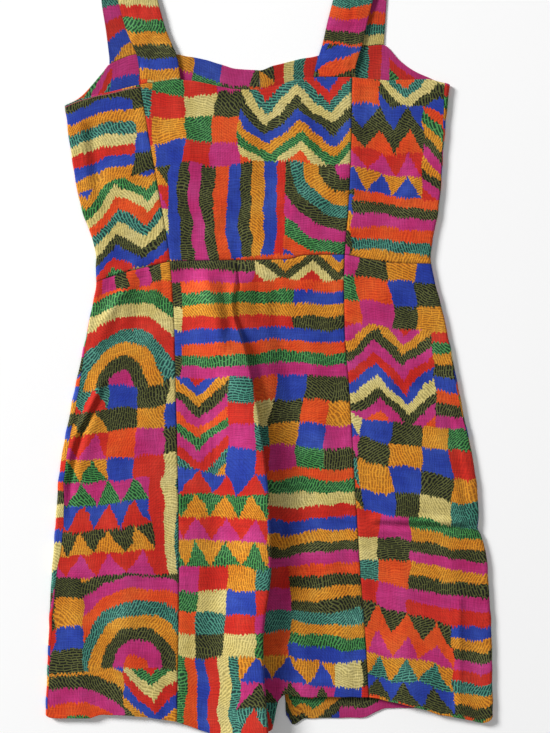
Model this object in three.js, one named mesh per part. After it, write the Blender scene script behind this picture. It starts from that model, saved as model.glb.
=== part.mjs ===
import * as THREE from "three";

// A sleeveless mini dress on wide straps, laid flat on its back with the front up.
// Millimetres, +X to the viewer's right, +Y from hem to shoulders, +Z up off the table.
// Every table measures Y from the waist seam and X from the middle of the front.

const CLOTH = 1.2; // thickness of every wall
const SEAM_GAP = 0.3;
const EDGE_RADIUS = 2; // mid-wall radius where the cloth turns over, from the back to the front
const STRAP_WIDTH = 44;
const SIDE_FADE = 26; // the front lies flat this near to a turned edge
const FOLD_FLANK = 62; // width over which the front rises to the crest of the centre fold
const FOLD_SHADE = 11; // width of the narrow columns of cloth just right of the crest
const BACK_LEVEL = CLOTH / 2;
const FRONT_LEVEL = BACK_LEVEL + 2 * EDGE_RADIUS;
const TURN_LEVEL = (BACK_LEVEL + FRONT_LEVEL) / 2;
const QUARTER_TURN = (Math.PI / 2) * EDGE_RADIUS;
const ROLL_MARGIN = 1.5; // cloth past the turn that still has the turn's close columns
const SLOPE_STEP = 1e-4;
const SETTLE_ROUNDS = 6;

// The body from armholes to hem: its two edges, the princess seams of the front, and how far
// the back shows over each edge before the side seam.
const body = [
  { y: -507, left: -241, seamLeft: -95.7, seamRight: 117, right: 252, overLeft: 3, overRight: 0 },
  { y: -416, left: -237.6, seamLeft: -94.2, seamRight: 111.8, right: 250.8, overLeft: 4, overRight: 0 },
  { y: -350, left: -234.3, seamLeft: -93.5, seamRight: 106.7, right: 246.4, overLeft: 6, overRight: 0 },
  { y: -306, left: -231, seamLeft: -93.8, seamRight: 103.5, right: 238.7, overLeft: 10, overRight: 0 },
  { y: -240, left: -226.6, seamLeft: -94.7, seamRight: 99.7, right: 233.2, overLeft: 7.5, overRight: 0 },
  { y: -152, left: -211, seamLeft: -96.8, seamRight: 94.6, right: 216.7, overLeft: 6, overRight: 3 },
  { y: -64, left: -192.5, seamLeft: -99, seamRight: 88.5, right: 199, overLeft: 1, overRight: 1 },
  { y: -20, left: -185, seamLeft: -101.5, seamRight: 88, right: 188, overLeft: 0, overRight: 0 },
  { y: 2, left: -185, seamLeft: -103.4, seamRight: 88.5, right: 183.7, overLeft: 0, overRight: 0 },
  { y: 68, left: -203.5, seamLeft: -114, seamRight: 93.3, right: 193.6, overLeft: 0, overRight: 1 },
  { y: 134, left: -214.5, seamLeft: -126, seamRight: 96, right: 198, overLeft: 0, overRight: 2 },
  { y: 196, left: -222, seamLeft: -136.4, seamRight: 96.8, right: 204, overLeft: 0, overRight: 2.5 },
];

// The cut edges and cross seams, as heights across the width.
const frontTop = [
  { x: -222, y: 171 }, { x: -200, y: 180 }, { x: -153, y: 191 }, { x: -136, y: 195 },
  { x: -91, y: 200.5 }, { x: -62, y: 196 }, { x: -38, y: 191 }, { x: -14, y: 189.3 },
  { x: 9, y: 192.5 }, { x: 32, y: 199.5 }, { x: 56, y: 203.5 }, { x: 97, y: 203 },
  { x: 134, y: 200 }, { x: 180, y: 201 }, { x: 205, y: 195 },
];
const frontWaist = [
  { x: -186, y: -22 }, { x: -155, y: -12 }, { x: -125, y: -4.5 }, { x: -96, y: 1 },
  { x: -24, y: 2 }, { x: 26, y: 3 }, { x: 46, y: 7.5 }, { x: 87, y: 8 },
  { x: 112, y: 3.6 }, { x: 145, y: -1 }, { x: 184, y: -2 },
];
const frontHemLeft = [
  { x: -241, y: -502 }, { x: -194, y: -502 }, { x: -176, y: -498 }, { x: -145, y: -499.5 },
  { x: -96, y: -506 }, { x: -64, y: -517 }, { x: -40, y: -521.5 }, { x: -15, y: -516 },
  { x: 10, y: -516 },
];
const frontHemRight = [
  { x: -10, y: -516 }, { x: 8, y: -515 }, { x: 16, y: -482 }, { x: 24, y: -475 },
  { x: 40, y: -478.5 }, { x: 110, y: -480.7 }, { x: 160, y: -489.5 }, { x: 222, y: -504 },
  { x: 252, y: -508 },
];
const backTop = [
  { x: -222, y: 171 }, { x: -204, y: 181 }, { x: -190, y: 195 }, { x: -178, y: 209 },
  { x: -170.5, y: 218.5 }, { x: -126.5, y: 231 }, { x: -97, y: 229 }, { x: -66, y: 223.5 },
  { x: -30, y: 213.5 }, { x: -6, y: 211.6 }, { x: 10, y: 216.5 }, { x: 36, y: 223 },
  { x: 88, y: 233 }, { x: 132, y: 239.5 }, { x: 150, y: 222 }, { x: 168, y: 209.6 },
  { x: 188, y: 201 }, { x: 205, y: 195 },
];
const backWaist = [{ x: -190, y: -22 }, { x: 0, y: -8 }, { x: 190, y: -2 }];
const backHem = [
  { x: -241, y: -502 }, { x: -200, y: -497 }, { x: -100, y: -492 }, { x: 12, y: -493 },
  { x: 25, y: -500 }, { x: 32, y: -510 }, { x: 46, y: -503 }, { x: 109, y: -502 },
  { x: 124, y: -496 }, { x: 139, y: -485 }, { x: 185, y: -489 }, { x: 252, y: -508 },
];

// The centre-back seam, and how far its two edges part in the vent at the hem.
const centreBack = [
  { y: -505, x: 18.5, part: 13 },
  { y: -390, x: 16, part: 0 },
  { y: -200, x: 9, part: 0 },
  { y: 215, x: -5.5, part: 0 },
];

// The fold below the waist tuck: where its crest stands, how many degrees the cloth turns over
// there, the radius of each turn and the straight run between them.
const centreFold = [
  { y: -516, crest: 4.4, turn: 165, radius: 2, run: 10 },
  { y: -414, crest: -1, turn: 160, radius: 2, run: 9 },
  { y: -282, crest: 4.4, turn: 150, radius: 2, run: 7 },
  { y: -178, crest: -6, turn: 130, radius: 2, run: 5 },
  { y: -100, crest: -21, turn: 90, radius: 2, run: 4 },
  { y: -46, crest: -34, turn: 45, radius: 2, run: 5 },
  { y: 3, crest: -29.7, turn: 0, radius: 2, run: 8 },
];

// Broad soft swells of the front, each a smooth mound with its half widths.
const swells = [
  { place: "left bust", x: -85, y: 95, across: 48, along: 60, height: 2.6 },
  { place: "right bust", x: 62, y: 100, across: 48, along: 60, height: 2.6 },
  { place: "left hip", x: -150, y: -330, across: 34, along: 120, height: 2 },
  { place: "right hip", x: 168, y: -210, across: 40, along: 90, height: 2.4 },
  { place: "right of hem", x: 175, y: -440, across: 30, along: 70, height: 2 },
  { place: "under the bodice", x: 35, y: 20, across: 60, along: 26, height: 1.4 },
];

// Creases of the front from one end to the other, raised where the height is positive.
const creases = [
  { place: "second fold", x1: 3, y1: -46, x2: 11, y2: -190, width: 9, height: 3 },
  { place: "left waist ridge", x1: -158, y1: -38, x2: -184, y2: -86, width: 9, height: 2.6 },
  { place: "left waist hollow", x1: -160, y1: -20, x2: -172, y2: -44, width: 8, height: -1 },
  { place: "left hip ridge", x1: -182, y1: -140, x2: -200, y2: -215, width: 9, height: 2.4 },
  { place: "right press crease", x1: 128, y1: -292, x2: 214, y2: -290, width: 9, height: 2 },
];

const straps = {
  left: {
    shoulder: 385,
    front: [
      { y: 385, x: -164 }, { y: 288, x: -139 }, { y: 256, x: -130 },
      { y: 239, x: -123 }, { y: 227, x: -118 }, { y: 198, x: -113.3 },
    ],
    back: [{ y: 385, x: -164 }, { y: 288, x: -157.3 }, { y: 256, x: -152.4 }, { y: 225, x: -148.5 }],
  },
  right: {
    shoulder: 381,
    front: [
      { y: 381, x: 121 }, { y: 288, x: 97.9 }, { y: 262, x: 91.3 },
      { y: 241, x: 86.6 }, { y: 217, x: 79.2 }, { y: 203, x: 76 },
    ],
    back: [{ y: 381, x: 121 }, { y: 288, x: 113.3 }, { y: 236, x: 110 }],
  },
};

const mix = THREE.MathUtils.lerp;
const { clamp, smoothstep, degToRad } = THREE.MathUtils;

// Reads one column of a table on a smooth curve through its rows that never overshoots them.
function read(table, key, column, at) {
  const rows = table[0][key] < table[table.length - 1][key] ? table : [...table].reverse();
  const last = rows.length - 1;
  const place = clamp(at, rows[0][key], rows[last][key]);
  let i = 0;
  while (i < last - 1 && place > rows[i + 1][key]) i += 1;
  const span = (k) => rows[k + 1][key] - rows[k][key];
  const slope = (k) => (rows[k + 1][column] - rows[k][column]) / span(k);
  const tangent = (k) => {
    if (k === 0 || k === last) return slope(Math.min(k, last - 1));
    const before = slope(k - 1);
    const after = slope(k);
    return before * after <= 0 ? 0 : (2 * before * after) / (before + after);
  };
  const t = (place - rows[i][key]) / span(i);
  const start = rows[i][column];
  const rise = rows[i + 1][column] - start;
  const lean = span(i) * tangent(i);
  const leave = span(i) * tangent(i + 1);
  return start + t * (lean + t * (3 * rise - 2 * lean - leave + t * (lean + leave - 2 * rise)));
}
const atHeight = (table, column, y) => read(table, "y", column, y);
const across = (outline, x) => read(outline, "x", "y", x);

// The turned edge of the cloth. reach runs along the cloth from its outermost point, positive
// on the upper side; in is the distance from the edge of the dress and z the mid-wall height.
function turnedEdge(reach) {
  const beyond = Math.abs(reach) - QUARTER_TURN;
  const angle = clamp(reach / EDGE_RADIUS, -Math.PI / 2, Math.PI / 2);
  return {
    in: CLOTH / 2 + EDGE_RADIUS * (1 - Math.cos(angle)) + Math.max(beyond, 0),
    z: TURN_LEVEL + EDGE_RADIUS * Math.sin(angle),
  };
}
const reachAt = (inward) => QUARTER_TURN + inward - CLOTH / 2 - EDGE_RADIUS;

// How far the front lies above its own level, for its loft and creases.
function loft(x, y) {
  let height = 0;
  for (const s of swells) {
    height += s.height * Math.exp(-(((x - s.x) / s.across) ** 2) - ((y - s.y) / s.along) ** 2);
  }
  for (const c of creases) {
    const [dx, dy] = [c.x2 - c.x1, c.y2 - c.y1];
    const length = Math.hypot(dx, dy);
    const along = ((x - c.x1) * dx + (y - c.y1) * dy) / length;
    const aside = ((x - c.x1) * dy - (y - c.y1) * dx) / length;
    const past = Math.max(-along, along - length, 0);
    height += c.height * Math.exp(-((aside / c.width) ** 2) - (past / c.width / 2) ** 2);
  }
  return height;
}

// Numbers from 0 to 1 that split it at the given stops, each stretch in its own count of steps.
function steps(stretches) {
  const list = [0];
  for (const { to, count } of stretches) {
    const from = list[list.length - 1];
    for (let i = 1; i <= count; i += 1) list.push(mix(from, to, i / count));
  }
  return list;
}

// A closed wall of cloth about the mid-surface at(u, v), with one column for each u and a row
// for each v.
function wall(us, vs, at) {
  const points = [];
  const push = (u, v, side) => {
    const along = at(u, v + SLOPE_STEP).sub(at(u, v - SLOPE_STEP));
    const normal = at(u + SLOPE_STEP, v).sub(at(u - SLOPE_STEP, v)).cross(along).normalize();
    points.push(...at(u, v).addScaledVector(normal, (side * CLOTH) / 2).toArray());
  };
  for (const side of [1, -1]) {
    for (const v of vs) for (const u of us) push(u, v, side);
  }
  const [columns, rows] = [us.length, vs.length];
  const outer = (i, j) => j * columns + i;
  const inner = (i, j) => columns * rows + outer(i, j);
  const faces = [];
  const quad = (a, b, c, d) => faces.push(a, b, c, a, c, d);
  for (let j = 0; j < rows - 1; j += 1) {
    for (let i = 0; i < columns - 1; i += 1) {
      quad(outer(i, j), outer(i + 1, j), outer(i + 1, j + 1), outer(i, j + 1));
      quad(inner(i, j), inner(i, j + 1), inner(i + 1, j + 1), inner(i + 1, j));
    }
    quad(outer(0, j), outer(0, j + 1), inner(0, j + 1), inner(0, j));
    const end = columns - 1;
    quad(outer(end, j), inner(end, j), inner(end, j + 1), outer(end, j + 1));
  }
  for (let i = 0; i < columns - 1; i += 1) {
    const end = rows - 1;
    quad(outer(i, 0), inner(i, 0), inner(i + 1, 0), outer(i + 1, 0));
    quad(outer(i, end), outer(i + 1, end), inner(i + 1, end), inner(i, end));
  }
  const geometry = new THREE.BufferGeometry();
  geometry.setAttribute("position", new THREE.Float32BufferAttribute(points, 3));
  geometry.setIndex(faces);
  geometry.computeVertexNormals();
  return geometry;
}

// Finds the height of a point that lies a share v of the way from a lower to an upper outline,
// where its X depends on that height.
function settle(v, place, lower, upper) {
  let y = (lower(0) + upper(0)) / 2;
  for (let i = 0; i < SETTLE_ROUNDS; i += 1) {
    const x = place(y);
    y = mix(lower(x), upper(x), v);
  }
  return { x: place(y), y };
}

const below = (outline) => (x) => across(outline, x) - SEAM_GAP / 2;
const above = (outline) => (x) => across(outline, x) + SEAM_GAP / 2;
const inwards = { left: 1, right: -1 };
const seamOf = { left: "seamLeft", right: "seamRight" };
const overOf = { left: "overLeft", right: "overRight" };
const sideSeam = (side, y) => atHeight(body, overOf[side], y);

// A front side panel between the side seam and the princess seam. u = 0 is at the side seam.
const ROLL_SHARE = 0.12; // share of u that goes round the turned edge
function frontSide(side, lower, upper) {
  return (u, v) => {
    const reach = (y) => {
      const seam = sideSeam(side, y) + SEAM_GAP / 2;
      const rolled = Math.max(seam, QUARTER_TURN) + ROLL_MARGIN;
      const width = Math.abs(atHeight(body, seamOf[side], y) - atHeight(body, side, y));
      const princess = reachAt(width) - SEAM_GAP / 2;
      if (u < ROLL_SHARE) return mix(seam, rolled, u / ROLL_SHARE);
      return mix(rolled, princess, (u - ROLL_SHARE) / (1 - ROLL_SHARE));
    };
    const place = (y) => atHeight(body, side, y) + inwards[side] * turnedEdge(reach(y)).in;
    const { x, y } = settle(v, place, lower, upper);
    const edge = turnedEdge(reach(y));
    const rise = loft(x, y) * smoothstep(edge.in, 0, SIDE_FADE);
    return new THREE.Vector3(x, y, edge.z + rise);
  };
}

// The front centre panel of the bodice, plain between its princess seams.
function frontCentreBodice(u, v) {
  const place = (y) =>
    mix(
      atHeight(body, "seamLeft", y) + SEAM_GAP / 2,
      atHeight(body, "seamRight", y) - SEAM_GAP / 2,
      u,
    );
  const { x, y } = settle(v, place, above(frontWaist), (at) => across(frontTop, at));
  return new THREE.Vector3(x, y, FRONT_LEVEL + loft(x, y));
}

// The fold in a section across the skirt: over from its crest, back under it, and on again.
function foldSection(y) {
  const turn = degToRad(atHeight(centreFold, "turn", y));
  const radius = atHeight(centreFold, "radius", y);
  const run = atHeight(centreFold, "run", y);
  const start = atHeight(centreFold, "crest", y) - radius * Math.sin(Math.min(turn, Math.PI / 2));
  const arc = radius * turn;
  const half = { x: radius * Math.sin(turn), z: radius * (1 - Math.cos(turn)) };
  const height = 2 * half.z + run * Math.sin(turn);
  const end = start + 2 * half.x + run * Math.cos(turn);
  const at = (share) => {
    const way = share * (2 * arc + run);
    if (way < arc) {
      const angle = way / radius;
      return { x: start + radius * Math.sin(angle), z: height - radius * (1 - Math.cos(angle)) };
    }
    if (way < arc + run) {
      const gone = way - arc;
      return {
        x: start + half.x + gone * Math.cos(turn),
        z: height - half.z - gone * Math.sin(turn),
      };
    }
    const angle = (2 * arc + run - way) / radius;
    return { x: end - radius * Math.sin(angle), z: radius * (1 - Math.cos(angle)) };
  };
  return { start, end, height, at };
}

// The front centre panel of the skirt: the flank left of the fold, the fold, and the cloth that
// runs out from under it to the right.
const FLANK_SHARE = 0.3;
const FOLD_SHARE = 0.55;
const SHADE_SHARE = 0.67;
function frontCentreSkirt(u, v) {
  const piece = (y) => {
    const fold = foldSection(y);
    if (u < FLANK_SHARE) {
      const seam = atHeight(body, "seamLeft", y) + SEAM_GAP / 2;
      const x = mix(seam, fold.start, u / FLANK_SHARE);
      return { x, z: fold.height * smoothstep(x, fold.start - FOLD_FLANK, fold.start) };
    }
    if (u < FOLD_SHARE) return fold.at((u - FLANK_SHARE) / (FOLD_SHARE - FLANK_SHARE));
    const shade = atHeight(centreFold, "crest", y) + FOLD_SHADE;
    if (u < SHADE_SHARE) {
      return { x: mix(fold.end, shade, (u - FOLD_SHARE) / (SHADE_SHARE - FOLD_SHARE)), z: 0 };
    }
    const seam = atHeight(body, "seamRight", y) - SEAM_GAP / 2;
    return { x: mix(shade, seam, (u - SHADE_SHARE) / (1 - SHADE_SHARE)), z: 0 };
  };
  const hem = (x) => across(u < FOLD_SHARE ? frontHemLeft : frontHemRight, x);
  const { x, y } = settle(v, (at) => piece(at).x, hem, below(frontWaist));
  return new THREE.Vector3(x, y, FRONT_LEVEL + piece(y).z + loft(x, y));
}

// A back half, flat on the table from the centre back and up over the edge to the side seam.
const FLAT_SHARE = 0.6;
function backHalf(side, lower, upper) {
  return (u, v) => {
    const reach = (y) => {
      const seam = sideSeam(side, y) - SEAM_GAP / 2;
      const parting = atHeight(centreBack, "part", y) / 2 + SEAM_GAP / 2;
      const centre = atHeight(centreBack, "x", y) - inwards[side] * parting;
      const flat = -reachAt(Math.abs(centre - atHeight(body, side, y)));
      const rolled = -QUARTER_TURN - ROLL_MARGIN;
      if (u < FLAT_SHARE) return mix(flat, rolled, u / FLAT_SHARE);
      return mix(rolled, seam, (u - FLAT_SHARE) / (1 - FLAT_SHARE));
    };
    const place = (y) => atHeight(body, side, y) + inwards[side] * turnedEdge(reach(y)).in;
    const { x, y } = settle(v, place, lower, upper);
    return new THREE.Vector3(x, y, turnedEdge(reach(y)).z);
  };
}

// A strap from its base seam to the shoulder seam, where the back one turns over the edge.
function strap(side, layer, base) {
  const { shoulder, [layer]: line } = straps[side];
  const upper = layer === "front" ? 1 : -1;
  return (u, v) => {
    const place = (y) => atHeight(line, "x", y) + (u - 0.5) * STRAP_WIDTH;
    let foot = line[line.length - 1].y;
    for (let i = 0; i < SETTLE_ROUNDS; i += 1) foot = base(place(foot)) + SEAM_GAP;
    const edge = turnedEdge(upper * mix(reachAt(shoulder - foot), SEAM_GAP / 2, v));
    const y = shoulder - edge.in;
    const x = place(y);
    const rise = layer === "front" ? loft(x, y) * smoothstep(edge.in, 0, SIDE_FADE) : 0;
    return new THREE.Vector3(x, y, edge.z + rise);
  };
}

const cloth = (colour) =>
  new THREE.MeshStandardMaterial({ color: colour, roughness: 0.88, metalness: 0 });
const dress = new THREE.Group();
function sew(name, colour, geometry) {
  const mesh = new THREE.Mesh(geometry, cloth(colour));
  mesh.name = name;
  dress.add(mesh);
}

const skirtRows = steps([{ to: 1, count: 16 }]);
const bodiceRows = steps([{ to: 1, count: 8 }]);
const sideColumns = steps([{ to: ROLL_SHARE, count: 3 }, { to: 1, count: 9 }]);
const foldColumns = steps([
  { to: FLANK_SHARE, count: 8 },
  { to: FOLD_SHARE, count: 11 },
  { to: SHADE_SHARE, count: 3 },
  { to: 1, count: 9 },
]);
const strapColumns = steps([{ to: 1, count: 3 }]);
const strapRows = steps([{ to: 0.95, count: 8 }, { to: 1, count: 3 }]);

// The bodice has its columns where those of the skirt meet the waist seam.
const waistLeft = frontCentreSkirt(0, 1).x;
const waistWidth = frontCentreSkirt(1, 1).x - waistLeft;
const centreColumns = foldColumns.map((u) => (frontCentreSkirt(u, 1).x - waistLeft) / waistWidth);

// Each back half has columns at the two corners of its strap.
function backColumns(side) {
  const base = straps[side].back[straps[side].back.length - 1];
  const centre = atHeight(centreBack, "x", base.y);
  const edge = atHeight(body, side, base.y);
  const share = (x) => (FLAT_SHARE * (x - centre)) / (edge - centre);
  const inner = share(base.x + (inwards[side] * STRAP_WIDTH) / 2);
  const outer = share(base.x - (inwards[side] * STRAP_WIDTH) / 2);
  return steps([
    { to: inner, count: 5 },
    { to: outer, count: 2 },
    { to: FLAT_SHARE, count: 4 },
    { to: 1, count: 8 },
  ]);
}

const colours = {
  left: { bodice: 0xe0701e, skirt: 0x2f4fb0, back: 0x3d7d4c, strap: 0x3f8a55 },
  right: { bodice: 0xd83a24, skirt: 0xc22a84, back: 0x8a2a5c, strap: 0xd7331f },
};
const frontNeck = (x) => across(frontTop, x);
const backNeck = (x) => across(backTop, x);
const backFoot = (x) => across(backHem, x);
for (const side of ["left", "right"]) {
  const tint = colours[side];
  const hem = side === "left" ? frontHemLeft : frontHemRight;
  const bodice = frontSide(side, above(frontWaist), frontNeck);
  const skirt = frontSide(side, (x) => across(hem, x), below(frontWaist));
  const columns = backColumns(side);
  const backBodice = backHalf(side, above(backWaist), backNeck);
  const backSkirt = backHalf(side, backFoot, below(backWaist));
  sew(`bodice_front_side_${side}`, tint.bodice, wall(sideColumns, bodiceRows, bodice));
  sew(`skirt_front_side_${side}`, tint.skirt, wall(sideColumns, skirtRows, skirt));
  sew(`bodice_back_${side}`, tint.back, wall(columns, bodiceRows, backBodice));
  sew(`skirt_back_${side}`, tint.back, wall(columns, skirtRows, backSkirt));
  for (const [layer, neck] of [["front", frontNeck], ["back", backNeck]]) {
    sew(`strap_${layer}_${side}`, tint.strap, wall(strapColumns, strapRows, strap(side, layer, neck)));
  }
}
sew("bodice_front_center", 0xd98a24, wall(centreColumns, bodiceRows, frontCentreBodice));
sew("skirt_front_center", 0xc8562a, wall(foldColumns, skirtRows, frontCentreSkirt));

// The origin is under the middle of the whole dress, on the table.
const extent = new THREE.Box3().setFromObject(dress);
const middle = extent.getCenter(new THREE.Vector3());
dress.position.set(-middle.x, -middle.y, -extent.min.z);

export default dress;
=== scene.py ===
"""A sleeveless mini dress on wide straps in patchwork-printed linen, laid flat with its front up.

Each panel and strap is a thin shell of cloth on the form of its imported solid, with the creases,
seams and turned edges of the real one. Tables and shapes are in millimetres, measured from the
waist seam (Y) and the middle of the front (X), and meshes are written in metres in the row frame.
"""

import math

import bpy
import numpy as np
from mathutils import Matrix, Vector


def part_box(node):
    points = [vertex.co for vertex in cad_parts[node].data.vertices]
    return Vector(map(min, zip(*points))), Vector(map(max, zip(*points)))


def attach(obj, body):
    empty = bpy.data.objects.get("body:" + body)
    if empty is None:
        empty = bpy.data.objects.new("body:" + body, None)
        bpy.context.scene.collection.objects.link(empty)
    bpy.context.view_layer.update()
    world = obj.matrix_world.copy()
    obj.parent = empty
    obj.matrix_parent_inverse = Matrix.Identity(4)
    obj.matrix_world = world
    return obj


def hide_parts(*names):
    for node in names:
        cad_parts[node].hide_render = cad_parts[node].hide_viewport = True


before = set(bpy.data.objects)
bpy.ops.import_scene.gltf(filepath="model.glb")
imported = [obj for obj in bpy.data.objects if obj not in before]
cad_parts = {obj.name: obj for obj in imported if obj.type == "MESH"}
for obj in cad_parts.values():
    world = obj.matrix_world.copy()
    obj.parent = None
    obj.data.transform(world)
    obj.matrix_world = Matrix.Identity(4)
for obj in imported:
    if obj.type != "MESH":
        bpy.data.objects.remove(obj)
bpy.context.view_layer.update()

MM = 0.001
CLOTH = 1.0  # thickness of the shells
SEAM_GAP = 0.12  # between the shells of two pieces
EDGE_RADIUS = 2.0  # where the cloth turns over from the back to the front
STRAP_WIDTH = 44.0
SIDE_FADE = 26.0  # the front's relief comes in over this distance from a turned edge
FOLD_FLANK = 62.0  # width of the rise to the centre fold
FOLD_LEE = 40.0  # width over which the cloth past the fold comes down
FOLD_LEE_EASE = 0.3  # how much that fall is eased at both ends
FOLD_SHADE = 11.0  # from the fold's crest to the end of the closely spaced points past it
BACK_LEVEL = CLOTH / 2
FRONT_LEVEL = BACK_LEVEL + 2 * EDGE_RADIUS
TURN_LEVEL = (BACK_LEVEL + FRONT_LEVEL) / 2
QUARTER_TURN = math.pi / 2 * EDGE_RADIUS
ROLL_MARGIN = 1.5  # flat cloth that the turned edge's close columns take in
SLOPE_STEP = 1e-4  # share of the grid over which a slope is taken
SETTLE_ROUNDS = 6
FINE = 2.6  # spacing of a shell's points
SKIRT_FINE = 2.0  # spacing of the skirt's rows
RIM = (0.12, 0.35, 0.8, 1.6)  # distances of the close rows and columns along every edge
RIM_CLEAR = 1.4  # the even spacing starts this many times as far in


# Tables


def table(names, *rows):
    """Rows of named columns, sorted by the first one."""
    columns = np.array(sorted(rows), float).T
    return dict(zip(names.split(), columns))


BODY = table(
    "y left seam_left seam_right right over_left over_right",
    (-507, -241, -95.7, 117, 252, 3, 0),
    (-416, -237.6, -94.2, 111.8, 250.8, 4, 0),
    (-350, -234.3, -93.5, 106.7, 247, 6, 0),
    (-323, -232.4, -93.7, 104.8, 245, 8.5, 0),
    (-310, -231.4, -93.7, 104, 242, 9.4, 0),
    (-301, -230.7, -93.8, 103.4, 238.6, 9.8, 0),
    (-293, -230.1, -93.8, 102.9, 235.4, 10, 0),
    (-284, -229.4, -93.9, 102.4, 236.2, 9.8, 0),
    (-268, -228.4, -94.2, 101.4, 236, 9, 0),
    (-240, -226.6, -94.7, 99.7, 233.6, 7.5, 0),
    (-152, -211, -96.8, 94.6, 216.7, 6, 3),
    (-64, -192.5, -99, 88.5, 199, 1, 1),
    (-20, -185, -101.5, 88, 188, 0, 0),
    (2, -185, -103.4, 88.5, 183.7, 0, 0),
    (68, -203.5, -114, 93.3, 193.6, 0, 1),
    (134, -214.5, -126, 96, 198.5, 0, 2.5),
    (170, -219, -132, 96.5, 202, 0, 5),
    (196, -222, -136.4, 96.8, 204.5, 0, 6.5),
)
FRONT_TOP = table(
    "x y",
    (-222, 171), (-200, 180), (-153, 191), (-136, 195), (-91, 200.5), (-62, 196), (-38, 191),
    (-14, 189.3), (9, 192.5), (32, 199.5), (56, 203.5), (97, 203), (134, 200), (180, 201),
    (205, 195),
)
FRONT_WAIST = table(
    "x y",
    (-186, -22), (-155, -12), (-125, -4.5), (-96, 1), (-24, 2), (26, 3), (46, 7.5), (87, 8),
    (112, 3.6), (145, -1), (184, -2),
)
FRONT_HEM_LEFT = table(
    "x y",
    (-241, -495), (-240, -498.6), (-238.5, -500.2), (-236.5, -501.5), (-234, -502),
    (-194, -502), (-176, -498), (-145, -499.5), (-96, -506), (-64, -517), (-40, -521.5),
    (-15, -516), (10, -516),
)
FRONT_HEM_RIGHT = table(
    "x y",
    (-10, -516), (8, -515), (16, -482), (24, -475), (40, -478.5), (110, -478.6), (136, -483),
    (174, -492), (196, -498.5), (224, -503.5), (240, -507), (249, -504.5), (252, -499),
)
BACK_TOP = table(
    "x y",
    (-222, 171), (-204, 181), (-190, 195), (-178, 209), (-170.5, 218.5), (-126.5, 231),
    (-97, 229), (-66, 223.5), (-30, 213.5), (-6, 211.6), (10, 216.5), (36, 223), (88, 233),
    (132, 239.5), (150, 222), (168, 209.6), (188, 201), (205, 195),
)
BACK_WAIST = table("x y", (-190, -22), (0, -8), (190, -2))
BACK_HEM = table(
    "x y",
    (-241, -495), (-240, -498.6), (-238.5, -500.2), (-236.5, -501.5), (-234, -502),
    (-200, -497), (-100, -492), (12, -493), (25, -500), (32, -510), (46, -503),
    (109, -502), (124, -496), (136, -491.5), (158, -491.5), (176, -492.5), (190, -492), (240, -505),
    (249, -503), (252, -498),
)
CENTRE_BACK = table("y x part", (-505, 18.5, 13), (-390, 16, 0), (-200, 9, 0), (215, -5.5, 0))
CENTRE_FOLD = table(
    "y crest turn radius run lift early",
    (-516, 4.4, 165, 2, 10, 6, 0),
    (-414, -1, 160, 2, 9, 7.5, 0),
    (-330, 8, 153, 2, 8, 8.4, 0),
    (-282, 6.6, 150, 2, 7, 9, 0),
    (-178, -4.4, 130, 2, 5, 9.8, 2),
    (-100, -19.5, 90, 2, 4, 9.8, 12),
    (-46, -34.5, 45, 2, 5, 8.4, 26),
    (-18, -31.5, 16, 2, 7, 5.6, 26),
    (3, -29.7, 0, 2, 8, 0, 24),
)
SHOULDER = {"left": 385.0, "right": 381.0}
STRAP_LINE = {
    ("front", "left"): table(
        "y x", (385, -164), (288, -139), (256, -130), (239, -123), (227, -118), (198, -113.3)
    ),
    ("back", "left"): table("y x", (385, -164), (288, -157.3), (256, -152.4), (225, -148.5)),
    ("front", "right"): table(
        "y x", (381, 121), (288, 97.9), (262, 91.3), (241, 86.6), (217, 79.2), (203, 76)
    ),
    ("back", "right"): table("y x", (381, 121), (288, 113.3), (236, 110)),
}
SWELLS = table(
    "x y across along height",
    (-85, 95, 48, 60, 2.6),
    (62, 100, 48, 60, 2.6),
    (-150, -330, 34, 120, 2),
    (168, -210, 40, 90, 2.4),
    (175, -440, 30, 70, 2),
    (35, 20, 60, 26, 1.4),
)
# A soft fold that runs down the hip to the side seam: how far its ridge lies past the seam, how
# tall the ridge is and how deep the hollow on its inner side.
HIP_FOLD = {
    "left": table(
        "y past rise dip",
        (-128, 25, 0, 0), (-150, 19, 2.6, 1), (-163, 14.5, 3, 1.8), (-175, 10.5, 2.9, 2.3),
        (-186, 6.8, 2.6, 2.6), (-205, 3.7, 2.1, 2.8), (-229, 1.6, 1.5, 2.8), (-247, 0, 1, 2.5),
        (-268, -0.8, 0.5, 1.3), (-292, -1, 0, 0),
    ),
    "right": table("y past rise dip", (-340, 9, 0, 0), (-225, 9, 0.9, 0.4), (-110, 9, 0, 0)),
}
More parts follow.
